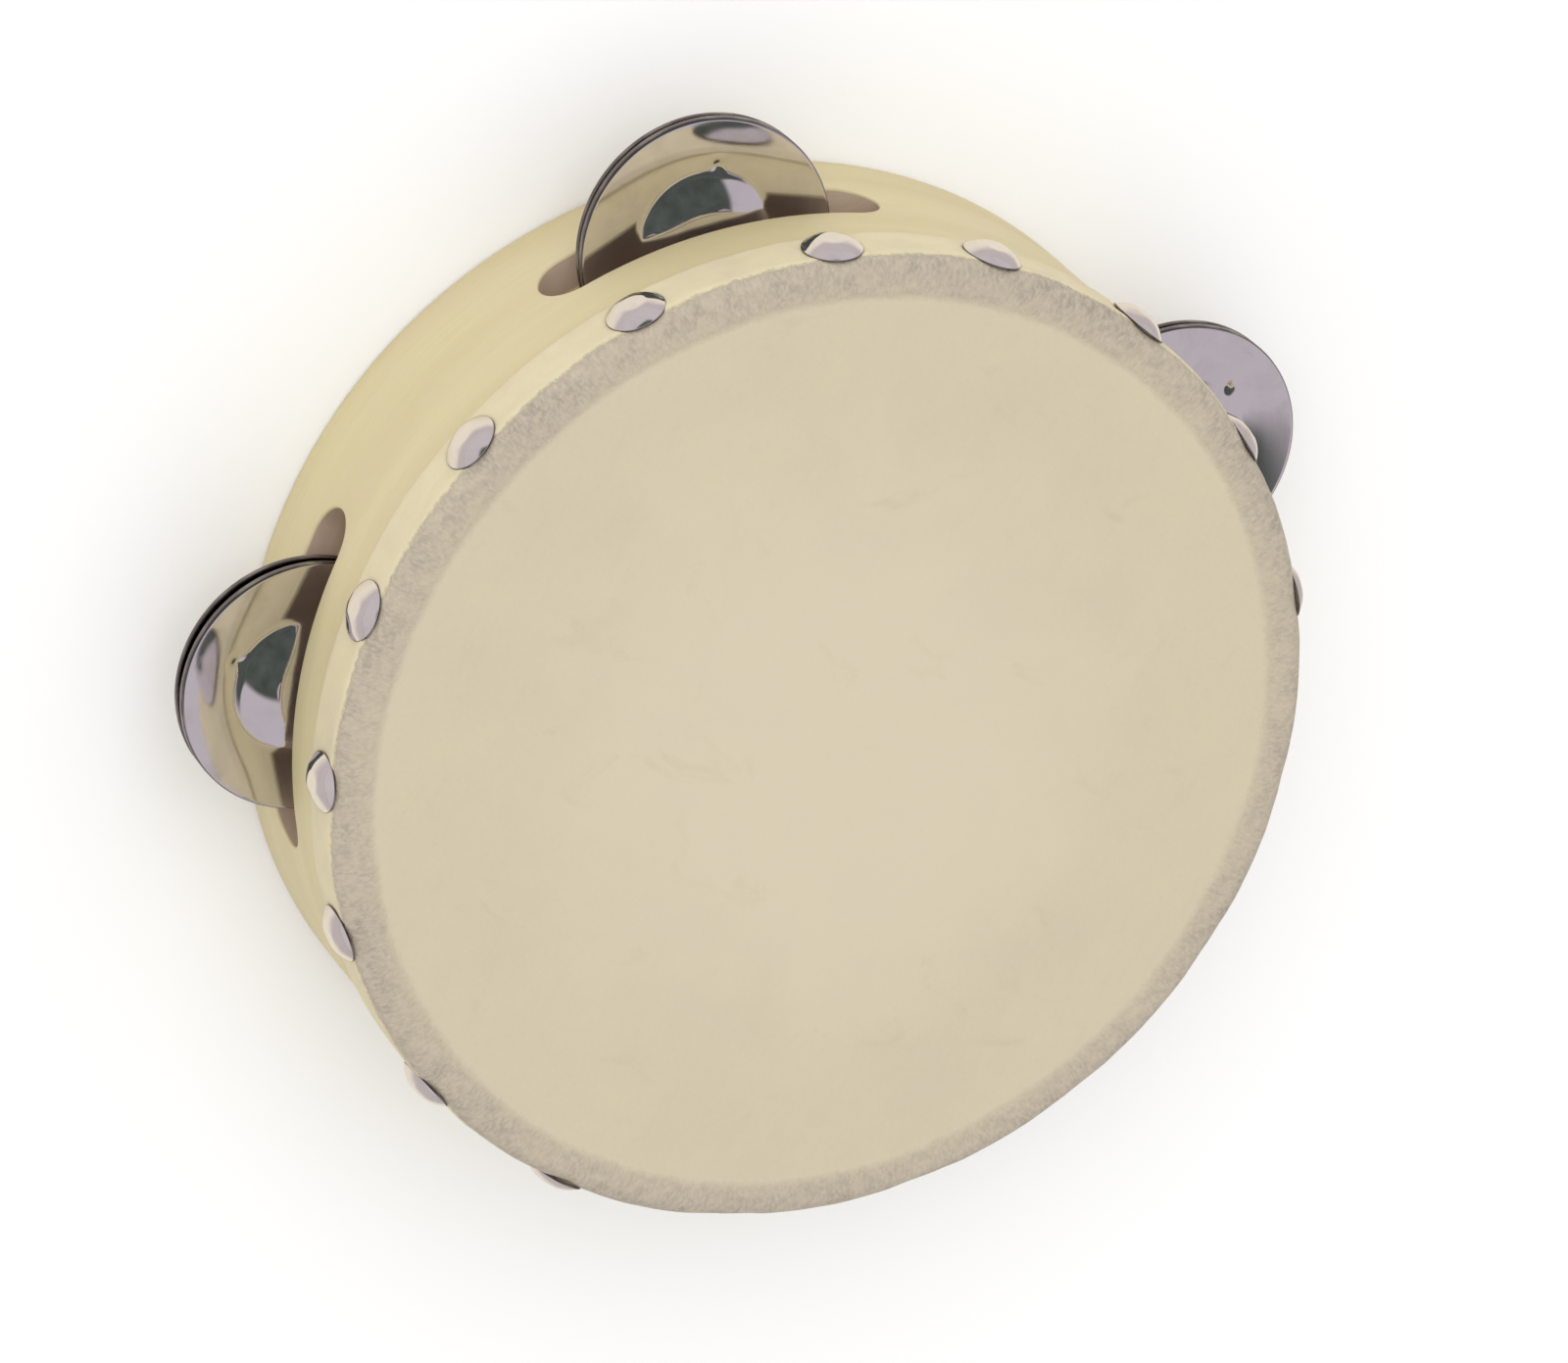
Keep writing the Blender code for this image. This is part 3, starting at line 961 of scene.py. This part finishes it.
def floor_material():
    """Pale floor with a painted reflection: metal sees it warm near the drum, dimmer lavender
    further off.
    """
    s = Shader("floor")
    place = s.coordinates("Object")
    pale = s.mix(s.noise(place, 3.0, 2.0), (0.93, 0.935, 0.95), (0.915, 0.92, 0.935))
    near = s.range(radius_of(s, place), FLOOR_FAR, FLOOR_NEAR)
    # Painted reflection: a colour that only glossy rays see, warm near the drum and lavender
    # further off.
    mirrored = s.mix(near, (0.50, 0.46, 0.47), (0.84, 0.79, 0.70))
    path = s.tree.nodes.new("ShaderNodeLightPath")
    s.set(s.surface, "Base Color", s.mix(path.outputs["Is Glossy Ray"], pale, mirrored))
    s.set(s.surface, "Roughness", 0.9)
    s.set(s.surface, "Specular IOR Level", 0.0)
    return s.material


# ---------------------------------------------------------------- stage, light and camera

def direction(azimuth_deg, elevation_deg):
    azimuth = radians(azimuth_deg)
    elevation = radians(elevation_deg)
    return Vector((cos(azimuth) * cos(elevation), sin(azimuth) * cos(elevation), sin(elevation)))


def make_floor():
    half = FLOOR_HALF
    mesh = bpy.data.meshes.new("floor")
    corners = [(-half, -half, 0), (half, -half, 0), (half, half, 0), (-half, half, 0)]
    mesh.from_pydata(corners, [], [(0, 1, 2, 3)])
    mesh.materials.append(floor_material())
    floor = add_to_scene("floor", mesh)
    floor.location.z = -FLOOR_DROP


def make_world():
    """A pale studio with a dim stretch of ceiling, which only bright metal shows."""
    world = bpy.data.worlds.new("studio")
    world.use_nodes = True
    bpy.context.scene.world = world
    tree = world.node_tree
    tree.nodes.clear()

    def node(kind, **inputs):
        new = tree.nodes.new(kind)
        for socket, value in inputs.items():
            fill(new.inputs[socket], value)
        return new

    def fill(socket, value):
        if isinstance(value, bpy.types.NodeSocket):
            tree.links.new(value, socket)
        else:
            socket.default_value = value

    def mix(factor, first, second):
        new = node("ShaderNodeMix", Factor=factor)
        new.data_type = "RGBA"
        fill(new.inputs[6], first)
        fill(new.inputs[7], second)
        return new.outputs[2]

    toward = node("ShaderNodeTexCoord").outputs["Generated"]
    aim = node("ShaderNodeVectorMath")
    aim.operation = "DOT_PRODUCT"
    fill(aim.inputs[0], toward)
    fill(aim.inputs[1], direction(CEILING_AZIMUTH, CEILING_ELEVATION))
    ceiling = node("ShaderNodeMapRange", Value=aim.outputs["Value"])
    ceiling.interpolation_type = "SMOOTHSTEP"
    fill(ceiling.inputs["From Min"], cos(radians(CEILING_SPREAD + CEILING_SOFT)))
    fill(ceiling.inputs["From Max"], cos(radians(CEILING_SPREAD - CEILING_SOFT)))
    cloud = node("ShaderNodeTexNoise", Vector=toward, Scale=CEILING_CLOUDS, Detail=3.0)
    dim = mix(cloud.outputs["Fac"], (*CEILING_DARK, 1), (*CEILING_PALE, 1))
    sky = mix(ceiling.outputs["Result"], (*MIRRORED_SKY, 1), dim)
    mirrored = node("ShaderNodeBackground", Color=sky, Strength=1.0)
    lit = node("ShaderNodeBackground", Color=(*SKY_COLOUR, 1), Strength=SKY_STRENGTH)
    blend = node("ShaderNodeMixShader")
    fill(blend.inputs[0], node("ShaderNodeLightPath").outputs["Is Glossy Ray"])
    fill(blend.inputs[1], lit.outputs[0])
    fill(blend.inputs[2], mirrored.outputs[0])
    node("ShaderNodeOutputWorld", Surface=blend.outputs[0])


def make_key_light():
    light = bpy.data.lights.new("key", "AREA")
    light.shape = "DISK"
    light.size = KEY_SIZE
    light.energy = KEY_POWER
    lamp = add_to_scene("key", light)
    toward = direction(KEY_AZIMUTH, KEY_ELEVATION)
    lamp.location = toward * KEY_DISTANCE
    lamp.rotation_mode = "QUATERNION"
    lamp.rotation_quaternion = toward.to_track_quat("Z", "Y")
    lamp.visible_glossy = False


def make_glow():
    """The daylight that comes through the thin hide into the drum."""
    light = bpy.data.lights.new("glow", "POINT")
    light.shadow_soft_size = GLOW_SIZE
    light.energy = GLOW_POWER
    light.color = GLOW_COLOUR
    lamp = add_to_scene("glow", light)
    lamp.location = (0, 0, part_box("wood_shell")[1].z / 2)
    lamp.visible_glossy = False


def make_camera():
    data = bpy.data.cameras.new("camera")
    data.sensor_width = CAMERA_SENSOR
    data.lens = CAMERA_LENS
    data.clip_start = CAMERA_CLIP[0]
    data.clip_end = CAMERA_CLIP[1]
    camera = add_to_scene("camera", data)
    back = direction(CAMERA_AZIMUTH, CAMERA_ELEVATION)
    aim = Vector((*CAMERA_AIM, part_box("hide_head")[1].z))
    level = (-back).to_track_quat("-Z", "Y")
    roll = Matrix.Rotation(radians(CAMERA_ROLL), 3, "Z").to_quaternion()
    camera.rotation_mode = "QUATERNION"
    camera.rotation_quaternion = level @ roll
    camera.location = aim + back * CAMERA_DISTANCE
    bpy.context.scene.camera = camera


def main():
    birch = birch_material("birch", *BIRCH)
    cut_birch = birch_material("cut_birch", *CUT_BIRCH)
    tack_nickel = bright_metal("tack_nickel", *TACK_NICKEL)
    jingle_nickel = bright_metal("jingle_nickel", *JINGLE_NICKEL)
    pin_steel = bright_metal("pin_steel", *PIN_STEEL)
    shell = make_shell(birch, cut_birch)
    make_head(hide_material())
    make_tacks(tack_nickel)
    make_jingles(jingle_nickel)
    make_pins(pin_steel)
    make_floor()
    make_world()
    make_key_light()
    make_glow()
    make_camera()
    bpy.context.scene.view_settings.view_transform = "Standard"


main()
